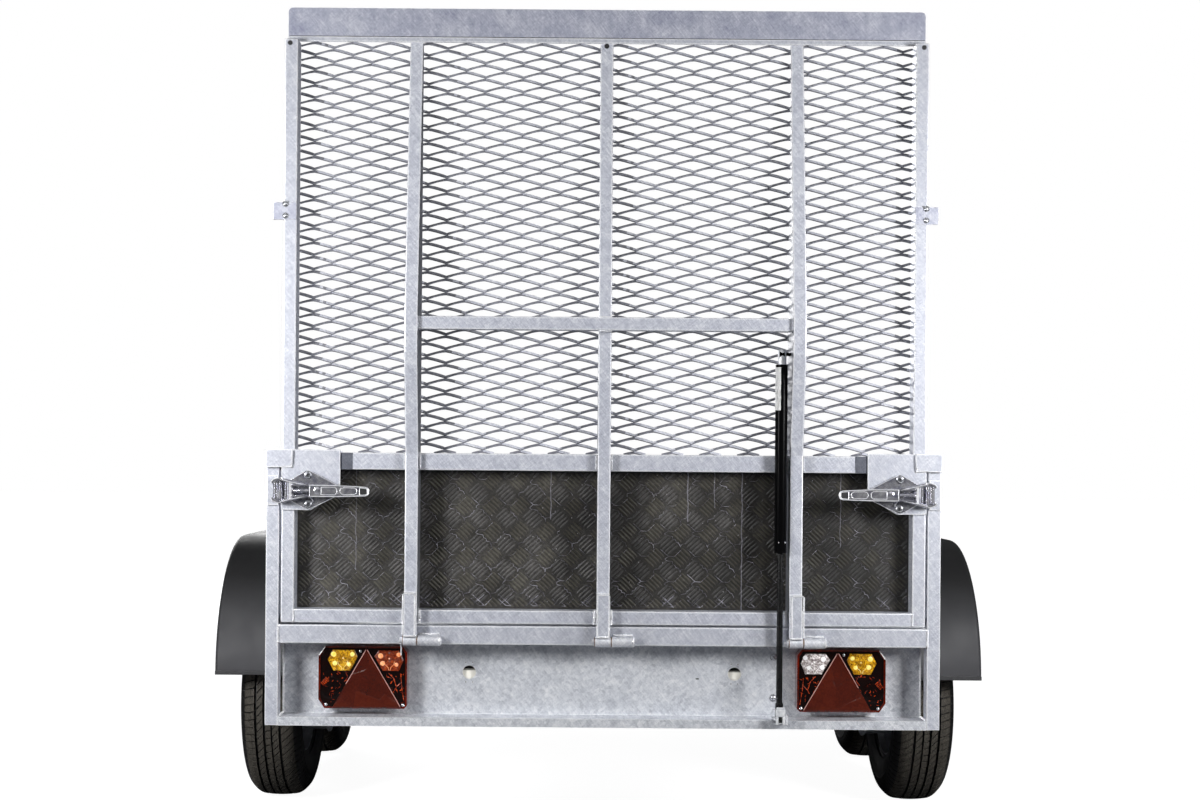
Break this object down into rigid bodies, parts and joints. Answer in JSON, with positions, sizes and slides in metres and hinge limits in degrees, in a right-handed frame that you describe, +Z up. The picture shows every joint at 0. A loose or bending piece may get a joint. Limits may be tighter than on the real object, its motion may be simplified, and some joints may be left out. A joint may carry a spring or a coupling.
{
  "type": "tandem-axle utility trailer",
  "caption": "Tandem-axle galvanised utility trailer with a hinged mesh ramp tailgate, gas strut, drawbar, ball coupling and jockey wheel.",
  "frame": {"origin": "on the ground, under the middle of the trailer's overall box", "axes": "+Y towards the towing vehicle, +X to the right seen from behind, +Z up"},
  "size_m": [2.04, 4.384, 2],
  "materials": {
    "galvanised_steel": "hot-dip zinc, dull with a fine spangle",
    "tread_plate": "raised-pattern steel plate, dull",
    "bright_zinc": "bright zinc plate",
    "cast_coupling": "zinc-coated casting, satin",
    "black_enamel": "black enamel, semi-gloss",
    "silver_enamel": "silver wheel enamel",
    "tyre_rubber": "worn matt rubber",
    "black_rubber": "moulded rubber",
    "black_plastic": "injection-moulded polypropylene",
    "lamp_red": "clear-red acrylic, glossy",
    "lamp_amber": "amber acrylic, glossy",
    "lamp_orange": "orange-red acrylic, glossy",
    "lamp_clear": "clear fluted acrylic, glossy",
    "lamp_reflector": "prismatic red reflector"
  },
  "bodies": {
    "trailer": {"rear_posts": "galvanised_steel", "rear_sill": "galvanised_steel", "lamp_panel": "galvanised_steel", "chassis_rails": "galvanised_steel", "cross_members": "galvanised_steel", "side_sills": "galvanised_steel", "side_rails": "galvanised_steel", "side_panels": "galvanised_steel", "headboard": "galvanised_steel", "drawbar_beams": "galvanised_steel", "nose_plates": "galvanised_steel", "axles": "galvanised_steel", "mudguard_stays": "galvanised_steel", "frame_hinges": "galvanised_steel", "strut_bracket": "galvanised_steel", "deck_plate": "tread_plate", "latch_keepers": "bright_zinc", "jockey_clamp": "bright_zinc", "jockey_tube": "bright_zinc", "coupling_housing": "cast_coupling", "coupling_head": "cast_coupling", "coupling_gaiter": "black_rubber", "handbrake_lever": "black_enamel", "mudguards": "black_plastic", "lamp_housings": "lamp_red", "lamp_indicators": "lamp_amber", "lamp_fog": "lamp_orange", "lamp_reverse": "lamp_clear", "lamp_reflectors": "lamp_reflector"},
    "ramp": {"ramp_stiles": "galvanised_steel", "ramp_rails": "galvanised_steel", "ramp_beams": "galvanised_steel", "ramp_cross_bar": "galvanised_steel", "ramp_mesh": "galvanised_steel", "ramp_toe_lip": "galvanised_steel", "ramp_gussets": "galvanised_steel", "ramp_hinges": "galvanised_steel", "ramp_tread_panel": "tread_plate", "ramp_tabs": "bright_zinc", "latch_bases": "bright_zinc", "latch_handles": "bright_zinc"},
    "strut_cylinder": {"strut_cylinder": "black_enamel"},
    "strut_rod": {"strut_rod": "black_enamel"},
    "wheel_rear_left": {"wheel_rear_left": "silver_enamel", "tyre_rear_left": "tyre_rubber"},
    "wheel_rear_right": {"wheel_rear_right": "silver_enamel", "tyre_rear_right": "tyre_rubber"},
    "wheel_front_left": {"wheel_front_left": "silver_enamel", "tyre_front_left": "tyre_rubber"},
    "wheel_front_right": {"wheel_front_right": "silver_enamel", "tyre_front_right": "tyre_rubber"},
    "jockey_leg": {"jockey_inner": "bright_zinc"},
    "jockey_fork": {"jockey_fork": "bright_zinc"},
    "jockey_wheel": {"jockey_wheel": "black_rubber"}
  },
  "joints": [
    {"name": "ramp_hinge", "type": "hinge", "parent": "trailer", "child": "ramp", "pos_m": [0, -2.145, 0.543], "axis": [1, 0, 0], "range_deg": [0, 113]},
    {"name": "strut_swing", "type": "hinge", "parent": "ramp", "child": "strut_cylinder", "pos_m": [0.404, -2.149, 1.2035], "axis": [1, 0, 0], "range_deg": [-14.8, 0]},
    {"name": "strut_slide", "type": "slide", "parent": "strut_cylinder", "child": "strut_rod", "axis": [0, 0, 1], "range_m": [0, 0.2265]},
    {"name": "spin_rear_left", "type": "hinge", "parent": "trailer", "child": "wheel_rear_left", "pos_m": [-0.89, -1.173, 0.289], "axis": [1, 0, 0], "continuous": true},
    {"name": "spin_rear_right", "type": "hinge", "parent": "trailer", "child": "wheel_rear_right", "pos_m": [0.89, -1.173, 0.289], "axis": [1, 0, 0], "continuous": true},
    {"name": "spin_front_left", "type": "hinge", "parent": "trailer", "child": "wheel_front_left", "pos_m": [-0.89, -0.473, 0.289], "axis": [1, 0, 0], "continuous": true},
    {"name": "spin_front_right", "type": "hinge", "parent": "trailer", "child": "wheel_front_right", "pos_m": [0.89, -0.473, 0.289], "axis": [1, 0, 0], "continuous": true},
    {"name": "jockey_slide", "type": "slide", "parent": "trailer", "child": "jockey_leg", "axis": [0, 0, 1], "range_m": [0, 0.17]},
    {"name": "jockey_swivel", "type": "hinge", "parent": "jockey_leg", "child": "jockey_fork", "pos_m": [-0.20536, 1.67, 0.222], "axis": [0, 0, 1], "continuous": true},
    {"name": "jockey_roll", "type": "hinge", "parent": "jockey_fork", "child": "jockey_wheel", "pos_m": [-0.20536, 1.625, 0.1], "axis": [1, 0, 0], "continuous": true}
  ],
  "couplings": [
    {"joint": "strut_swing", "follows": "ramp_hinge", "ratio": -0.1306},
    {"joint": "strut_slide", "follows": "ramp_hinge", "m_per_rad": 0.11473}
  ]
}
